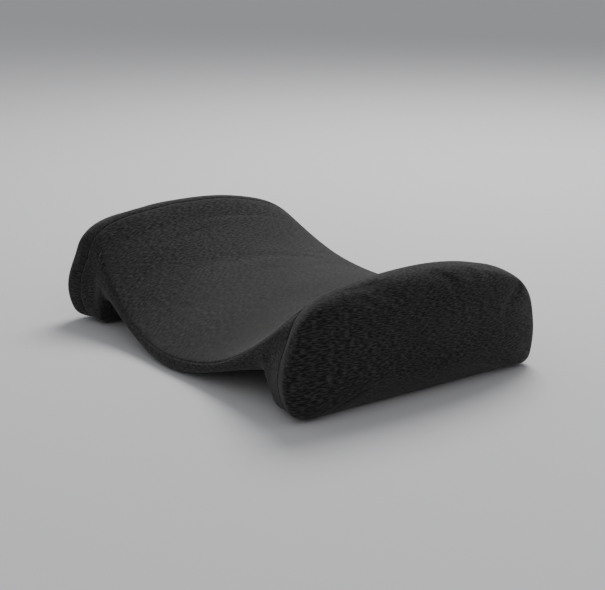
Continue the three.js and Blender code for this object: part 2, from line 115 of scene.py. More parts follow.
soft_light("light_behind", (-0.75, 1.15, 1.75), 1.3, 44)
soft_light("light_front", (1.5, -1.2, 1.3), 1.8, 4)
bpy.context.scene.world = bpy.data.worlds.new("studio")
bpy.context.scene.world.use_nodes = True
sky = bpy.context.scene.world.node_tree.nodes["Background"]
sky.inputs["Color"].default_value = SKY_COLOUR
sky.inputs["Strength"].default_value = SKY_STRENGTH


# ---------------------------------------------------------------------------------------------
# Cushion form. The outer faces of the sewn cover's panels are joined into one closed shape, which
# the foam behind them fills out. Every piece of cloth and foam below is taken from this shape.
# ---------------------------------------------------------------------------------------------
PANEL_NODES = ["face_panel", "left_side_panel", "right_side_panel",
               "lower_end_panel", "upper_end_panel", "back_panel"]
SLIT = len(PANEL_NODES)         # number of the patch that closes the zip's slit
FACING_OUT = 0.4                # how squarely an outer face looks away from the foam
SAME_PLACE = 0.00001            # vertices closer than this are one
SEAM_WELD = 0.0011
POLE_EDGES = 20                 # a vertex with more edges than this is the middle of a fan
SLIT_STEP = 0.005               # edges along the slit are longer than this in X
ISLAND_MARGIN = 0.001
SIDE_GRID_SPAN = 11
RELAXING_ROUNDS = 120
INTERPOLATION_ROUNDS = 4
CAGE_STEP = 0.7
CAGE_MOVE_SHARE = 0.3
SIM_LEVELS = 2
FULL_LEVELS = 3
FILL_PRESSURE = 4.0
FILL_FRAMES = 20
FILL_LIMIT = 0.0032             # how far the filling pushes the cloth out, at most
FILL_REACH = 0.035              # the distance from a seam at which it reaches that
# For each panel, the two directions that its cloth's weft and warp lie along.
GRAIN = [((1, 0, 0), (0, 1, 0)), ((0, 0, 1), (0, 1, 0)), ((0, 0, -1), (0, 1, 0)),
         ((0, 0, -1), (1, 0, 0)), ((0, 0, 1), (1, 0, 0)), ((-1, 0, 0), (0, 1, 0)),
         ((-1, 0, 0), (0, 1, 0))]


def apply_modifiers(piece):
    select_only(piece)
    for modifier in list(piece.modifiers):
        bpy.ops.object.modifier_apply(modifier=modifier.name)


def add_subdivision(piece, levels):
    modifier = piece.modifiers.new("rounding", "SUBSURF")
    modifier.levels = levels
    modifier.render_levels = levels
    return modifier


core = bmesh.new()
core.from_mesh(cad_nodes["foam_core"].data)
core_tree = BVHTree.FromBMesh(core)
core.free()

form_mesh = bmesh.new()
for number, node in enumerate(PANEL_NODES):
    panel = bmesh.new()
    panel.from_mesh(cad_nodes[node].data)
    bmesh.ops.remove_doubles(panel, verts=panel.verts, dist=SAME_PLACE)
    bmesh.ops.recalc_face_normals(panel, faces=panel.faces)
    corners_made = {}
    for face in panel.faces:
        centre = face.calc_center_median()
        away = (centre - core_tree.find_nearest(centre)[0]).normalized()
        if face.normal.dot(away) < FACING_OUT:
            continue
        for vertex in face.verts:
            if vertex not in corners_made:
                corners_made[vertex] = form_mesh.verts.new(vertex.co)
        form_mesh.faces.new([corners_made[v] for v in face.verts]).material_index = number
    panel.free()
bmesh.ops.remove_doubles(form_mesh, verts=form_mesh.verts, dist=SEAM_WELD)

# The fans at the middle of the wings' sides become grids, and the slit is closed.
side_reach = max(abs(v.co.x) for v in form_mesh.verts)
poles = [v for v in form_mesh.verts if len(v.link_edges) > POLE_EDGES]
bmesh.ops.delete(form_mesh, geom=poles, context="VERTS")
open_edges = [e for e in form_mesh.edges if e.is_boundary]
slit_rows = [e for e in open_edges if abs(e.verts[0].co.x) < side_reach / 2
             and abs(e.verts[0].co.x - e.verts[1].co.x) > SLIT_STEP]
bridged = bmesh.ops.bridge_loops(form_mesh, edges=slit_rows)
for face in bridged["faces"]:
    face.material_index = SLIT
bmesh.ops.join_triangles(form_mesh, faces=[f for f in form_mesh.faces if len(f.verts) == 3],
                         angle_face_threshold=math.pi, angle_shape_threshold=math.pi)
bmesh.ops.delete(form_mesh, geom=[e for e in form_mesh.edges if not e.link_faces], context="EDGES")
mesh = bpy.data.meshes.new("cushion_form")
form_mesh.to_mesh(mesh)
form_mesh.free()
form = bpy.data.objects.new("cushion_form", mesh)
bpy.context.scene.collection.objects.link(form)

for number in (1, 2):
    sign = -1 if number == 1 else 1
    select_only(form)
    bpy.ops.object.mode_set(mode="EDIT")
    bpy.ops.mesh.select_mode(type="EDGE")
    bpy.ops.mesh.select_all(action="DESELECT")
    edit = bmesh.from_edit_mesh(form.data)
    for edge in edit.edges:
        edge.select_set(edge.is_boundary and edge.verts[0].co.x * sign > side_reach / 2)
    bmesh.update_edit_mesh(form.data)
    bpy.ops.mesh.fill_grid(span=SIDE_GRID_SPAN, offset=0)
    edit = bmesh.from_edit_mesh(form.data)
    patch = [face for face in edit.faces if face.select]
    for face in patch:
        face.material_index = number
    inner = {v for f in patch for v in f.verts if all(g.select for g in v.link_faces)}
    for _ in range(RELAXING_ROUNDS):
        for vertex in inner:
            around = [edge.other_vert(vertex).co for edge in vertex.link_edges]
            vertex.co = sum(around, Vector()) / len(around)
    bmesh.update_edit_mesh(form.data)
    bpy.ops.mesh.select_all(action="SELECT")
    bpy.ops.mesh.normals_make_consistent(inside=False)
    bpy.ops.object.mode_set(mode="OBJECT")

# Each panel is laid flat at its real size, so that the weave follows it. The slit's edges stay put.
select_only(form)
bpy.ops.object.mode_set(mode="EDIT")
edit = bmesh.from_edit_mesh(form.data)
crease = edit.edges.layers.float.new("crease_edge")
for edge in edit.edges:
    numbers = {f.material_index for f in edge.link_faces}
    edge.seam = len(numbers) > 1
    edge[crease] = 1.0 if edge.seam and SLIT in numbers else 0.0
bmesh.update_edit_mesh(form.data)
bpy.ops.mesh.select_all(action="SELECT")
bpy.ops.mesh.uv_texture_add()
bpy.ops.uv.unwrap(method="ANGLE_BASED", margin=ISLAND_MARGIN)
bpy.ops.object.mode_set(mode="OBJECT")
form.data.uv_layers[0].name = "pattern"

edit = bmesh.new()
edit.from_mesh(form.data)
flat = edit.loops.layers.uv["pattern"]
for number, (weft, warp) in enumerate(GRAIN):
    faces = [f for f in edit.faces if f.material_index == number]
    loops = [loop for f in faces for loop in f.loops]
    if not loops:
        continue
    centre_flat = sum((loop[flat].uv for loop in loops), Vector((0, 0))) / len(loops)
    turn = [0.0, 0.0]
    for loop in loops:
        here = loop[flat].uv - centre_flat
        x, y = loop.vert.co.dot(Vector(weft)), loop.vert.co.dot(Vector(warp))
        turn[0] += here.x * x + here.y * y
        turn[1] += here.x * y - here.y * x
    length = math.hypot(*turn)
    cosine, sine = turn[0] / length, turn[1] / length
    real_area = sum(f.calc_area() for f in faces)
    flat_area = 0.0
    for face in faces:
        ring = [loop[flat].uv for loop in face.loops]
        flat_area += abs(sum(a.cross(b) for a, b in zip(ring, ring[1:] + ring[:1]))) / 2
    scale = math.sqrt(real_area / flat_area)
    for loop in loops:
        here = (loop[flat].uv - centre_flat) * scale
        loop[flat].uv = (here.x * cosine - here.y * sine, here.x * sine + here.y * cosine)
edit.to_mesh(form.data)
edit.free()

# Subdivision rounds a shape off inwards, so its cage is pushed out until it meets the panels. No
# vertex may move further than a share of its shortest edge, or close rows would cross.
targets = [v.co.copy() for v in form.data.vertices]
move_limit = [side_reach] * len(targets)
for edge in form.data.edges:
    first, second = edge.vertices
    reach = (targets[first] - targets[second]).length * CAGE_MOVE_SHARE
    move_limit[first] = min(move_limit[first], reach)
    move_limit[second] = min(move_limit[second], reach)
for _ in range(INTERPOLATION_ROUNDS):
    rounding = add_subdivision(form, SIM_LEVELS)
    evaluated = form.evaluated_get(bpy.context.evaluated_depsgraph_get())
    rounded = [evaluated.data.vertices[i].co.copy() for i in range(len(targets))]
    form.modifiers.remove(rounding)
    for vertex, target, now, limit in zip(form.data.vertices, targets, rounded, move_limit):
        move = vertex.co + (target - now) * CAGE_STEP - target
        if move.length > limit:
            move = move.normalized() * limit
        vertex.co = target + move

add_subdivision(form, SIM_LEVELS)
apply_modifiers(form)


def seam_points(piece):
    """Places along the seams, where two panels of different numbers meet."""
    shape = bmesh.new()
    shape.from_mesh(piece.data)
    found = {v.index for e in shape.edges if len({f.material_index for f in e.link_faces}) > 1
             for v in e.verts}
    shape.free()
    return found


held = seam_points(form)
nearest_seam = KDTree(len(held))
for index in held:
    nearest_seam.insert(form.data.vertices[index].co, index)
nearest_seam.balance()

group = form.vertex_groups.new(name="sewn")
group.add(sorted(held), 1.0, "REPLACE")
before = [v.co.copy() for v in form.data.vertices]
cloth = form.modifiers.new("filling", "CLOTH")
cloth.settings.use_pressure = True
cloth.settings.uniform_pressure_force = FILL_PRESSURE
cloth.settings.effector_weights.gravity = 0
cloth.settings.vertex_group_mass = "sewn"
cloth.point_cache.frame_end = FILL_FRAMES
for number in range(1, FILL_FRAMES + 1):
    bpy.context.scene.frame_set(number)
apply_modifiers(form)
bpy.context.scene.frame_set(1)
for vertex, start in zip(form.data.vertices, before):
    move = vertex.co - start
    reach = min(nearest_seam.find(start)[2] / FILL_REACH, 1.0)
    limit = FILL_LIMIT * math.sin(reach * math.pi / 2)
    if move.length > limit:
        move = move.normalized() * limit
    vertex.co = start + move
    vertex.co.z = max(vertex.co.z, 0.0)
form.vertex_groups.clear()

filled_form = form.data.copy()
add_subdivision(form, FULL_LEVELS - SIM_LEVELS)
apply_modifiers(form)


# ---------------------------------------------------------------------------------------------
# Woven cover fabric: charcoal heather, a plain weave of light and dark yarns with slubs.
# The pattern lies on each panel's own flat cutting pattern, in metres.
# ---------------------------------------------------------------------------------------------
class Level:
    """A number that varies over a surface; arithmetic on it adds Math nodes."""

    def __init__(self, finish, socket):
        self.finish = finish
        self.socket = socket

    def math(self, operation, other=None, clamp=False, swap=False):
        inputs = {0: self} if other is None else {0: self, 1: other}
        if swap:
            inputs = {0: other, 1: self}
        return self.finish.level("ShaderNodeMath", {"operation": operation, "use_clamp": clamp}, inputs)

    def __add__(self, other):
        return self.math("ADD", other)

    __radd__ = __add__

    def __sub__(self, other):
        return self.math("SUBTRACT", other)

    def __rsub__(self, other):
        return self.math("SUBTRACT", other, swap=True)

    def __mul__(self, other):
        return self.math("MULTIPLY", other)

    __rmul__ = __mul__

    def sine(self):
        return self.math("SINE")

    def clamped(self):
        return self.math("ADD", 0.0, clamp=True)


class Finish:
    """One material and its nodes."""

    def __init__(self, name):
        self.material = bpy.data.materials.new(name)
        self.material.use_nodes = True
        self.tree = self.material.node_tree
        self.shader = self.tree.nodes["Principled BSDF"]

    def join(self, value, socket):
        if isinstance(value, Level):
            value = value.socket
        if isinstance(value, bpy.types.NodeSocket):
            self.tree.links.new(value, socket)
        else:
            socket.default_value = value

    def make(self, kind, settings=None, inputs=None):
        """Any node: its type, its settings, and the values or links of its sockets."""
        node = self.tree.nodes.new(kind)
        for key, value in (settings or {}).items():
            setattr(node, key, value)
        for key, value in (inputs or {}).items():
            self.join(value, node.inputs[key])
        return node

    def level(self, kind, settings=None, inputs=None):
        return Level(self, self.make(kind, settings, inputs).outputs[0])

    def flat_pattern(self):
        """Distances across and along the cloth."""
        place = self.make("ShaderNodeUVMap", {"uv_map": "pattern"})
        split = self.make("ShaderNodeSeparateXYZ", None, {0: place.outputs["UV"]})
        return Level(self, split.outputs[0]), Level(self, split.outputs[1])

    def noise(self, scale, detail=2.0):
        place = self.make("ShaderNodeTexCoord")
        return self.level("ShaderNodeTexNoise", None,
                          {"Vector": place.outputs["Object"], "Scale": scale, "Detail": detail})

    def streaks(self, across, along, detail=2.0):
        """Noise on the flat pattern, stretched by its two scales."""
        place = self.make("ShaderNodeCombineXYZ", None, {0: across, 1: along})
        return self.level("ShaderNodeTexNoise", {"noise_dimensions": "2D"},
                          {"Vector": place.outputs[0], "Scale": 1.0, "Detail": detail})

    def blend(self, factor, first, second):
        node = self.make("ShaderNodeMix", {"data_type": "RGBA"}, {"Factor": factor, 6: first, 7: second})
        return node.outputs[2]

    def surface(self, colour, roughness, **constants):
        self.join(colour, self.shader.inputs["Base Color"])
        self.join(roughness, self.shader.inputs["Roughness"])
        for name, value in constants.items():
            self.shader.inputs[name.replace("_", " ")].default_value = value

    def bump(self, height, distance, strength=1.0):
        node = self.make("ShaderNodeBump", None,
                         {"Height": height, "Distance": distance, "Strength": strength})
        self.join(node.outputs["Normal"], self.shader.inputs["Normal"])


YARN_PITCH = 0.0009
SLUB_SCALE = 900.0
SLUB_LENGTH_SCALE = 210.0
YARN_LENGTH_SCALE = 130.0
CLOUD_SCALE = 16.0
CLOUD_LENGTH_SCALE = 9.0
WARP_SHARE = 0.8
DARK_YARN = (0.0055, 0.0055, 0.0056, 1)
LIGHT_YARN = (0.052, 0.0515, 0.0495, 1)
YARN_CONTRAST = 1.32
SLUB_CONTRAST = 2.2
CLOUD_CONTRAST = 0.35
MIDDLE_TONE = 0.3
FIBRE_SCALE = 2600.0
WEAVE_HEIGHT = 0.0005

heather = Finish("charcoal_heather_weave")
across, along = heather.flat_pattern()
turns = math.pi / YARN_PITCH
crossings = (across * turns).sine() * (along * turns).sine()
warp_on_top = (crossings * 1.5 + 0.5).clamped()
warp_yarns = heather.streaks(across * (1 / YARN_PITCH), along * YARN_LENGTH_SCALE)
weft_yarns = heather.streaks(across * YARN_LENGTH_SCALE, along * (1 / YARN_PITCH))
top_yarns = weft_yarns * (1 - warp_on_top) + warp_yarns * warp_on_top
yarns = warp_yarns * WARP_SHARE + top_yarns * (1 - WARP_SHARE)
slubs = heather.streaks(across * SLUB_SCALE, along * SLUB_LENGTH_SCALE)
clouds = heather.streaks(across * CLOUD_SCALE, along * CLOUD_LENGTH_SCALE)
tone = ((yarns - 0.5) * YARN_CONTRAST + (slubs - 0.5) * SLUB_CONTRAST
        + (clouds - 0.5) * CLOUD_CONTRAST + MIDDLE_TONE).clamped()
fibre = heather.noise(FIBRE_SCALE)
heather.surface(heather.blend(tone, DARK_YARN, LIGHT_YARN), 0.9 - tone * 0.08,
                Specular_IOR_Level=0.2, Sheen_Weight=0.2, Sheen_Roughness=0.4,
                Sheen_Tint=(0.75, 0.75, 0.73, 1))
heather.bump(crossings * 0.35 + yarns * 0.6 + slubs * 0.8 + fibre * 0.25, WEAVE_HEIGHT, 0.7)
heather_weave = heather.material


# ---------------------------------------------------------------------------------------------
# Back fabric: black three-layer spacer mesh, knitted with rows of small staggered holes.
# It wears well against a chair and lets air through.
# ---------------------------------------------------------------------------------------------
HOLE_PITCH = 0.0032
KNIT_SCALE = 1400.0
KNIT_LENGTH_SCALE = 500.0
KNIT_HEIGHT = 0.0008

spacer = Finish("black_spacer_mesh")
across, along = spacer.flat_pattern()
hole_turns = 2 * math.pi / HOLE_PITCH
rising = (across * hole_turns + along * hole_turns).sine()
falling = (across * hole_turns - along * hole_turns).sine()
holes = rising * falling
open_part = (holes * 2.4 - 0.9).clamped()
knit = spacer.streaks(across * KNIT_SCALE, along * KNIT_LENGTH_SCALE)
spacer.surface(spacer.blend(open_part, (0.017, 0.017, 0.018, 1), (0.002, 0.002, 0.002, 1)),
               0.78 + knit * 0.15, Specular_IOR_Level=0.3, Sheen_Weight=0.15, Sheen_Roughness=0.5)
spacer.bump(knit * 0.35 - open_part * 1.4, KNIT_HEIGHT, 0.9)
spacer_mesh = spacer.material


# ---------------------------------------------------------------------------------------------
# Cover panels: six cut panels, sewn edge to edge with plain seams that the foam pulls tight.
# Each is its own piece of cloth, with its edges turned in a little at the seams.
# ---------------------------------------------------------------------------------------------
CLOTH_THICKNESS = 0.0014
SEAM_DEPTH = 0.0007
SEAM_REACH = 0.0028
SEAM_SPLIT_LENGTH = 0.0018
SEAM_GAP = 0.00003
COVER_PIECES = ["face_cover", "left_wing_cover", "right_wing_cover",
                "lip_cover", "upper_edge_cover", "back_cover"]

shape = bmesh.new()
shape.from_mesh(form.data)
sewn = {v for e in shape.edges if len({f.material_index for f in e.link_faces}) > 1 for v in e.verts}
spokes = [e for e in shape.edges
          if (e.verts[0] in sewn) != (e.verts[1] in sewn) and e.calc_length() > SEAM_SPLIT_LENGTH]
bmesh.ops.subdivide_edges(shape, edges=spokes, cuts=2, use_grid_fill=True)
shape.normal_update()
seams = [e for e in shape.edges if len({f.material_index for f in e.link_faces}) > 1]
seam_tree = KDTree(len(seams) * 2)
for number, vertex in enumerate(v for e in seams for v in e.verts):
    seam_tree.insert(vertex.co, number)
seam_tree.balance()
moves = []
for vertex in shape.verts:
    distance = seam_tree.find(vertex.co)[2]
    if distance < SEAM_REACH:
        depth = SEAM_DEPTH * (1 - distance / SEAM_REACH) ** 2
        moves.append((vertex, vertex.normal * depth))
for vertex, move in moves:
    vertex.co -= move
shape.to_mesh(form.data)
shape.free()

for number, (name, node) in enumerate(zip(COVER_PIECES, PANEL_NODES)):
    piece = bpy.data.objects.new(name, form.data.copy())
    bpy.context.scene.collection.objects.link(piece)
    cut = bmesh.new()
    cut.from_mesh(piece.data)
    others = [f for f in cut.faces if f.material_index != number]
    bmesh.ops.delete(cut, geom=others, context="FACES")
    for vertex in [v for v in cut.verts if v.is_boundary]:
        inner = sum((f.calc_center_median() for f in vertex.link_faces), Vector()) / len(vertex.link_faces)
        vertex.co += (inner - vertex.co).normalized() * SEAM_GAP
    for face in cut.faces:
        face.material_index = 0
        face.smooth = True
    cut.to_mesh(piece.data)
    cut.free()
    piece.data.materials.append(spacer_mesh if node == "back_panel" else heather_weave)
    wall = piece.modifiers.new("wall", "SOLIDIFY")
    wall.thickness = CLOTH_THICKNESS
    wall.offset = -1
    apply_modifiers(piece)
    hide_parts(node)
    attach(piece, "root")
bpy.data.objects.remove(form)


# ---------------------------------------------------------------------------------------------
# Foam block: one moulding of cream memory foam, with a knitted jersey sleeve pulled over it.
# Both are inside the cover and a little smaller than it.
# ---------------------------------------------------------------------------------------------
FOAM_DEPTH = 0.0040
LINER_DEPTH = 0.0032
LINER_THICKNESS = 0.0004
NORMAL_ROUNDS = 3
PORE_SCALE = 900.0
PORE_HEIGHT = 0.0006
STITCH_WIDTH = 0.0012
STITCH_HEIGHT = 0.0009
LOOP_HEIGHT = 0.0003

foam = Finish("cream_memory_foam")
pores = foam.noise(PORE_SCALE, 4.0)
foam.surface(foam.blend(pores, (0.66, 0.60, 0.46, 1), (0.80, 0.75, 0.62, 1)), 0.9,
             Specular_IOR_Level=0.3)
foam.bump(pores, PORE_HEIGHT)

jersey = Finish("grey_liner_jersey")
across, along = jersey.flat_pattern()
wales = (across * (2 * math.pi / STITCH_WIDTH)).sine()
courses = (along * (2 * math.pi / STITCH_HEIGHT)).sine()
loops_pattern = wales * 0.5 + courses * 0.3
lightness = (loops_pattern * 0.5 + 0.5).clamped()
jersey.surface(jersey.blend(lightness, (0.34, 0.34, 0.33, 1), (0.55, 0.55, 0.54, 1)), 0.85,
               Specular_IOR_Level=0.3)
jersey.bump(loops_pattern, LOOP_HEIGHT)


def inner_shape(name, depth):
    """The cushion's form, shrunk evenly by the given depth."""
    piece = bpy.data.objects.new(name, filled_form.copy())
    bpy.context.scene.collection.objects.link(piece)
    edges = [tuple(edge.vertices) for edge in piece.data.edges]
    normals = [v.normal.copy() for v in piece.data.vertices]
    for _ in range(NORMAL_ROUNDS):
        sums = [n.copy() for n in normals]
        for first, second in edges:
            sums[first] += normals[second]
            sums[second] += normals[first]
        normals = [total.normalized() for total in sums]
    for vertex, normal in zip(piece.data.vertices, normals):
        vertex.co -= normal * depth
    for face in piece.data.polygons:
        face.material_index = 0
        face.use_smooth = True
    return piece


foam_block = inner_shape("foam_block", FOAM_DEPTH)
foam_block.data.materials.append(foam.material)
liner_sleeve = inner_shape("liner_sleeve", LINER_DEPTH)
liner_sleeve.data.materials.append(jersey.material)
wall = liner_sleeve.modifiers.new("wall", "SOLIDIFY")
wall.thickness = LINER_THICKNESS
wall.offset = -1
apply_modifiers(liner_sleeve)
for piece, node, finish in ((foam_block, "foam_core", "foam"), (liner_sleeve, "inner_liner", "liner_jersey")):
    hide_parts(node)
    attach(piece, "root")


# ---------------------------------------------------------------------------------------------
# Zip tapes: two woven polyester tapes, sewn flat over the slit. Each is a strip with a cord-like
# edge along the teeth, ribbed across its width.
# ---------------------------------------------------------------------------------------------
TAPE_RIB_PITCH = 0.0007
TAPE_EDGE_ROUNDING = 0.00025
TAPE_STEPS = (112, 11)
TAPE_RIPPLE = 0.00012
TAPE_RIPPLE_TURNS = 260         # radians of ripple per metre of tape
TAPE_RIPPLE_START = 0.004
TAPE_CORD_WIDTH = 0.002
TAPE_CORD_HEIGHT = 0.0001
BEVEL_ANGLE = math.radians(35)
SMOOTH_ANGLE = math.radians(40)
FLAT_ANGLE = math.radians(1)


def ribbed_weave(name, pitch, dark, light):
    """Narrow-woven tape or webbing: ribs along it, crossed by picks."""
    finish = Finish(name)
    across, along = finish.flat_pattern()
    turns = 2 * math.pi / pitch
    ribs = (across * turns).sine() * 0.5 + 0.5
    picks = (along * (turns * 0.8) + (across * turns).sine() * 1.2).sine() * 0.5 + 0.5
    wear = finish.streaks(across * 260.0, along * 45.0)
    shade = (ribs * 0.45 + picks * 0.3 + (wear - 0.5) * 0.6).clamped()
    finish.surface(finish.blend(shade, dark, light), 0.72 + wear * 0.14,
                   Specular_IOR_Level=0.35, Sheen_Weight=0.12, Sheen_Roughness=0.4)
    finish.bump(ribs * 0.7 + picks * 0.45, pitch * 0.35, 0.9)
    return finish.material


tape_weave = ribbed_weave("black_zip_tape", TAPE_RIB_PITCH,
                          (0.006, 0.006, 0.0062, 1), (0.032, 0.032, 0.033, 1))


def lay_pattern(piece, weft, warp):
    """Gives a flat or nearly flat piece its pattern, in metres along two directions."""
    layer = piece.data.uv_layers.get("pattern") or piece.data.uv_layers.new(name="pattern")
    for loop in piece.data.loops:
        here = piece.data.vertices[loop.vertex_index].co
        layer.data[loop.index].uv = (here.dot(Vector(weft)), here.dot(Vector(warp)))


def copy_of(node, name):
    """A copy of a CAD node's solid, with its loose triangles merged."""
    piece = bpy.data.objects.new(name, cad_nodes[node].data.copy())
    bpy.context.scene.collection.objects.link(piece)
    piece.data.materials.clear()
    select_only(piece)
    bpy.ops.object.mode_set(mode="EDIT")
    bpy.ops.mesh.select_all(action="SELECT")
    bpy.ops.mesh.remove_doubles(threshold=SAME_PLACE)
    bpy.ops.mesh.dissolve_limited(angle_limit=FLAT_ANGLE)
    bpy.ops.mesh.normals_make_consistent(inside=False)
    bpy.ops.object.mode_set(mode="OBJECT")
    return piece


def soften_edges(piece, width, steps=3):
    bevel = piece.modifiers.new("edges", "BEVEL")
    bevel.width = width
    bevel.segments = steps
    bevel.limit_method = "ANGLE"
    bevel.angle_limit = BEVEL_ANGLE
    apply_modifiers(piece)
    select_only(piece)
    bpy.ops.object.shade_smooth_by_angle(angle=SMOOTH_ANGLE)


def finish_piece(piece, node, body, material):
    piece.data.materials.append(material)
    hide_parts(node)
    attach(piece, body)


def slab(name, low, high, cuts):
    """A thin block between two corners, cut into even steps along X and Y."""
    bpy.ops.object.select_all(action="DESELECT")
    bpy.ops.mesh.primitive_grid_add(x_subdivisions=cuts[0], y_subdivisions=cuts[1], size=1)
    piece = bpy.context.object
    piece.name = name
    for vertex in piece.data.vertices:
        vertex.co.x = low[0] + (vertex.co.x + 0.5) * (high[0] - low[0])
        vertex.co.y = low[1] + (vertex.co.y + 0.5) * (high[1] - low[1])
        vertex.co.z = high[2]
    wall = piece.modifiers.new("wall", "SOLIDIFY")
    wall.thickness = high[2] - low[2]
    wall.offset = -1
    apply_modifiers(piece)
    select_only(piece)
    bpy.ops.object.mode_set(mode="EDIT")
    bpy.ops.mesh.select_all(action="SELECT")
    bpy.ops.mesh.normals_make_consistent(inside=False)
    bpy.ops.object.mode_set(mode="OBJECT")
    return piece


for side in ("front", "back"):
    node = f"zip_tape_{side}"
    low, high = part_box(node)
    tape = slab(f"zip_{side}_tape_weave", low, high, TAPE_STEPS)
    inner_y = high[1] if side == "front" else low[1]
    for vertex in tape.data.vertices:
        from_teeth = abs(vertex.co.y - inner_y)
        near_teeth = 1 - min(from_teeth / TAPE_CORD_WIDTH, 1)
        ripple = TAPE_RIPPLE * math.sin(vertex.co.x * TAPE_RIPPLE_TURNS)
        ripple *= min(from_teeth / TAPE_RIPPLE_START, 1)
        if vertex.co.z < (low[2] + high[2]) / 2:
            vertex.co.z += ripple - near_teeth * TAPE_CORD_HEIGHT
    soften_edges(tape, TAPE_EDGE_ROUNDING, 2)
    lay_pattern(tape, (0, 1, 0), (1, 0, 0))
    finish_piece(tape, node, "root", tape_weave)


# ---------------------------------------------------------------------------------------------
# Zip teeth: two nylon coils that hook into each other, black and smooth. One loop of the coil is
# modelled and repeated along each tape.
# ---------------------------------------------------------------------------------------------
COIL_PITCH = 0.0014
COIL_WIRE = 0.00036
COIL_LEAN = 1.4                 # how far a loop leans, in wire radii

nylon = Finish("black_moulded_nylon")
grain = nylon.noise(1500.0, 3.0)
scuffs = nylon.noise(70.0, 4.0)
nylon.surface(nylon.blend(scuffs, (0.0085, 0.0085, 0.009, 1), (0.017, 0.017, 0.018, 1)),
              0.36 + scuffs * 0.16 + grain * 0.08, Specular_IOR_Level=0.5)
nylon.bump(grain, 0.00012, 0.5)

for side in ("front", "back"):
    node = f"zip_coil_{side}"
    low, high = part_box(node)
    middle = [(a + b) / 2 for a, b in zip(low, high)]
    bpy.ops.object.select_all(action="DESELECT")
    bpy.ops.mesh.primitive_torus_add(
        location=(low[0] + COIL_WIRE, middle[1], middle[2]), rotation=(0, math.pi / 2, 0),
        major_radius=(high[1] - low[1]) / 2 - COIL_WIRE, minor_radius=COIL_WIRE,
        major_segments=10, minor_segments=5)
    coil = bpy.context.object
    coil.name = f"zip_{side}_coil_teeth"
    bpy.ops.object.transform_apply(location=True, rotation=True, scale=True)
    squeeze = (high[2] - low[2]) / (high[1] - low[1])
    lean = COIL_WIRE * (COIL_LEAN if side == "front" else -COIL_LEAN)
    for vertex in coil.data.vertices:
        vertex.co.z = middle[2] + (vertex.co.z - middle[2]) * squeeze
        vertex.co.x += lean * (vertex.co.y - middle[1]) / (high[1] - middle[1])
    row = coil.modifiers.new("row", "ARRAY")
    row.use_relative_offset = False
    row.use_constant_offset = True
    row.constant_offset_displace = (COIL_PITCH, 0, 0)
    row.count = int((high[0] - low[0] - 2 * COIL_WIRE) / COIL_PITCH)
    apply_modifiers(coil)
    select_only(coil)
    bpy.ops.object.shade_smooth()
    finish_piece(coil, node, "root", nylon.material)


# ---------------------------------------------------------------------------------------------
# Zip slider, its pull and the two end stops: die-cast zinc with a worn black finish, which shows
# bare metal in scattered worn patches.
# ---------------------------------------------------------------------------------------------
ZINC_EDGE = 0.00035

zinc = Finish("black_zinc")
rubbed = zinc.noise(240.0, 5.0)
bare = ((rubbed - 0.62) * 6.0).clamped()
zinc.surface(zinc.blend(bare, (0.028, 0.028, 0.03, 1), (0.30, 0.30, 0.31, 1)),
             0.30 + rubbed * 0.18, Metallic=1.0)
zinc.bump(rubbed, 0.00008, 0.4)
for node, name, body in (("zip_slider", "zip_slider_casting", "zip_slider_body"),
                         ("zip_pull", "zip_pull_tab", "zip_pull_body"),
                         ("zip_stop_left", "zip_left_stop_staple", "root"),
                         ("zip_stop_right", "zip_right_stop_staple", "root")):
    casting = copy_of(node, name)
    soften_edges(casting, ZINC_EDGE)
    finish_piece(casting, node, body, zinc.material)


# ---------------------------------------------------------------------------------------------
# Strap webbing: 25 mm black polypropylene, 1.6 mm thick. Each half is sewn to the back panel at
# its outer end, bends down from there, and runs level to its buckle.
# ---------------------------------------------------------------------------------------------
WEBBING_RIB_PITCH = 0.0016
WEBBING_STEP = 0.0014
WEBBING_ROWS = 12
WEBBING_ROUNDING = 0.0005
WEBBING_THICKNESS = 0.0016
WEBBING_SEWN = 0.020            # length of the end that is sewn down
WEBBING_SLOPE = 0.014           # length of the slope that follows it

webbing_weave = ribbed_weave("black_polypropylene_webbing", WEBBING_RIB_PITCH,
                             (0.005, 0.005, 0.0052, 1), (0.036, 0.036, 0.037, 1))
for strap in ("lower", "upper"):
    for side, sign in (("left", -1), ("right", 1)):
        node = f"{strap}_webbing_{side}"
        low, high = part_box(node)
        outer_x = low[0] if sign < 0 else high[0]
        end_x = high[0] if sign < 0 else low[0]
        half = WEBBING_THICKNESS / 2
        top_z, level_z = high[2] - half, low[2] + half
        slope_start = outer_x - sign * WEBBING_SEWN
        count = int(abs(outer_x - end_x) / WEBBING_STEP)
        band = slab(f"{strap}_{side}_webbing_band", (min(outer_x, end_x), low[1], -half),
                    (max(outer_x, end_x), high[1], half), (count, WEBBING_ROWS))
        for vertex in band.data.vertices:
            down = min(max((slope_start - vertex.co.x) * sign / WEBBING_SLOPE, 0.0), 1.0)
            vertex.co.z += top_z + (level_z - top_z) * down
        soften_edges(band, WEBBING_ROUNDING, 2)
        lay_pattern(band, (0, 1, 0), (1, 0, 0))
        finish_piece(band, node, "root", webbing_weave)


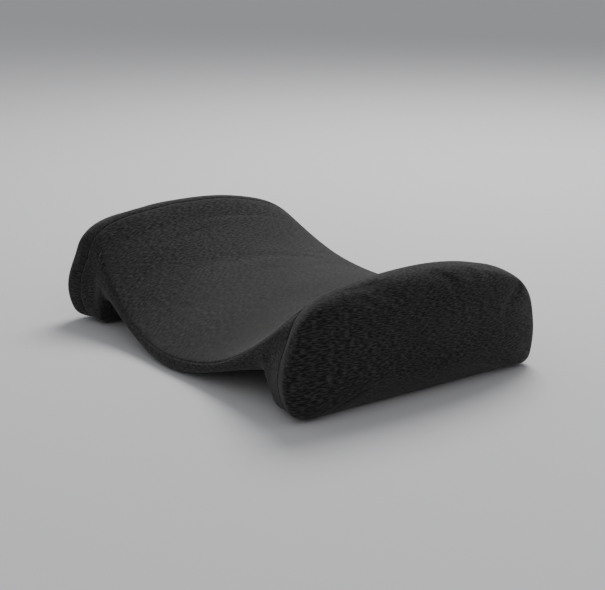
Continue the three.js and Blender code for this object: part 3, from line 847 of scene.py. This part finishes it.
# ---------------------------------------------------------------------------------------------
# Anchor patches: folded tape that covers each strap's sewn end, and spreads the pull. The rim
# lies a little closer to the cover than the middle, where the stitches draw it in.
# ---------------------------------------------------------------------------------------------
PATCH_STEPS = (18, 20)
PATCH_CROWN = 0.0003
PATCH_ROUNDING = 0.0003
for strap in ("lower", "upper"):
    for side in ("left", "right"):
        node = f"{strap}_anchor_patch_{side}"
        low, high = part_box(node)
        patch = slab(f"{strap}_{side}_anchor_tape", low, high, PATCH_STEPS)
        middle = [(a + b) / 2 for a, b in zip(low, high)]
        for vertex in patch.data.vertices:
            if vertex.co.z < middle[2]:
                across = abs(vertex.co.x - middle[0]) / (high[0] - middle[0])
                along = abs(vertex.co.y - middle[1]) / (high[1] - middle[1])
                vertex.co.z += PATCH_CROWN * max(across, along) ** 4
        soften_edges(patch, PATCH_ROUNDING, 2)
        lay_pattern(patch, (1, 0, 0), (0, 1, 0))
        finish_piece(patch, node, "root", webbing_weave)


# ---------------------------------------------------------------------------------------------
# Strap hardware: injection-moulded nylon. An adjuster with a keeper bar, and a side-release buckle
# of two halves. All edges are rounded, as mouldings are.
# ---------------------------------------------------------------------------------------------
MOULDED_EDGE = 0.0006

for strap in ("lower", "upper"):
    for node, name, body in ((f"{strap}_adjuster", f"{strap}_adjuster_moulding",
                              f"{strap}_adjuster_body"),
                             (f"{strap}_buckle_female", f"{strap}_buckle_socket", "root"),
                             (f"{strap}_buckle_male", f"{strap}_buckle_tongue",
                              f"{strap}_male_body")):
        moulding = copy_of(node, name)
        soften_edges(moulding, MOULDED_EDGE)
        finish_piece(moulding, node, body, nylon.material)


# ---------------------------------------------------------------------------------------------
# Care label: a blank satin tape, sewn flat along one end beside the zip. Its free end lifts.
# ---------------------------------------------------------------------------------------------
LABEL_STEPS = (34, 20)
LABEL_LIFT = 0.0022
LABEL_WAVE = 0.0003
LABEL_WAVE_TURNS = 190          # radians of wave per metre of label
LABEL_ROUNDING = 0.0001

satin = Finish("white_satin")
across, along = satin.flat_pattern()
shine = satin.streaks(across * 1900.0, along * 90.0)
satin.surface(satin.blend(shine, (0.62, 0.62, 0.60, 1), (0.80, 0.80, 0.78, 1)), 0.34 + shine * 0.2,
              Specular_IOR_Level=0.5)
satin.bump(shine, 0.00015, 0.5)
low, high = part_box("care_label")
label = slab("care_label_tape", low, high, LABEL_STEPS)
for vertex in label.data.vertices:
    free = (high[1] - vertex.co.y) / (high[1] - low[1])
    wave = LABEL_WAVE * free * math.sin((vertex.co.x - low[0]) * LABEL_WAVE_TURNS)
    vertex.co.z -= LABEL_LIFT * free ** 3 + wave
soften_edges(label, LABEL_ROUNDING, 1)
lay_pattern(label, (1, 0, 0), (0, 1, 0))
finish_piece(label, "care_label", "root", satin.material)


# ---------------------------------------------------------------------------------------------
# Stitching: bonded black thread. Lockstitch rows hold the zip tapes and the label, and a box with
# a cross in it holds each anchor patch.
# ---------------------------------------------------------------------------------------------
STITCH_PITCH = 0.0030
STITCH_SHARE = 0.78
THREAD_RADIUS = 0.00022
THREAD_FLATNESS = 0.8
TAPE_ROW_SHIFT = 0.0032
TAPE_ROW_INSET = 0.003
PATCH_ROW_INSET = 0.002
LABEL_ROW_INSET = 0.001
LABEL_ROW_DROP = 0.0015

thread = Finish("black_bonded_thread")
twist = thread.noise(3200.0, 1.0)
thread.surface(thread.blend(twist, (0.010, 0.010, 0.010, 1), (0.050, 0.050, 0.051, 1)), 0.5 + twist * 0.2,
               Specular_IOR_Level=0.45)
thread.bump(twist, 0.0001, 0.6)


def stitch_rows(name, lines, z):
    """One piece made of the stitches along straight lines, under a surface at height z."""
    rows = bmesh.new()
    for start, end in lines:
        start, end = Vector(start), Vector(end)
        count = max(int((end - start).length / STITCH_PITCH), 1)
        heading = math.atan2(end.y - start.y, end.x - start.x)
        for number in range(count):
            middle = start.lerp(end, (number + 0.5) / count)
            made = bmesh.ops.create_icosphere(rows, subdivisions=1, radius=1)["verts"]
            for vertex in made:
                long, wide = vertex.co.x, vertex.co.y
                long *= STITCH_PITCH * STITCH_SHARE / 2
                wide *= THREAD_RADIUS
                vertex.co = (middle.x + long * math.cos(heading) - wide * math.sin(heading),
                             middle.y + long * math.sin(heading) + wide * math.cos(heading),
                             z + vertex.co.z * THREAD_RADIUS * THREAD_FLATNESS)
    for face in rows.faces:
        face.smooth = True
    mesh = bpy.data.meshes.new(name)
    rows.to_mesh(mesh)
    rows.free()
    piece = bpy.data.objects.new(name, mesh)
    bpy.context.scene.collection.objects.link(piece)
    piece.data.materials.append(thread.material)
    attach(piece, "root")


for side in ("front", "back"):
    low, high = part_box(f"zip_tape_{side}")
    middle_y = (low[1] + high[1]) / 2
    rows = [((low[0] + TAPE_ROW_INSET, middle_y + shift), (high[0] - TAPE_ROW_INSET, middle_y + shift))
            for shift in (-TAPE_ROW_SHIFT, TAPE_ROW_SHIFT)]
    stitch_rows(f"zip_{side}_tape_stitches", rows, low[2])
for strap in ("lower", "upper"):
    for side in ("left", "right"):
        low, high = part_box(f"{strap}_anchor_patch_{side}")
        left, right = low[0] + PATCH_ROW_INSET, high[0] - PATCH_ROW_INSET
        near, far = low[1] + PATCH_ROW_INSET, high[1] - PATCH_ROW_INSET
        ring = [(left, near), (right, near), (right, far), (left, far)]
        lines = list(zip(ring, ring[1:] + ring[:1])) + [(ring[0], ring[2]), (ring[1], ring[3])]
        stitch_rows(f"{strap}_{side}_anchor_stitches", lines, low[2])
low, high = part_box("care_label")
row_y = high[1] - LABEL_ROW_DROP
label_row = [((low[0] + LABEL_ROW_INSET, row_y), (high[0] - LABEL_ROW_INSET, row_y))]
stitch_rows("care_label_stitches", label_row, low[2])
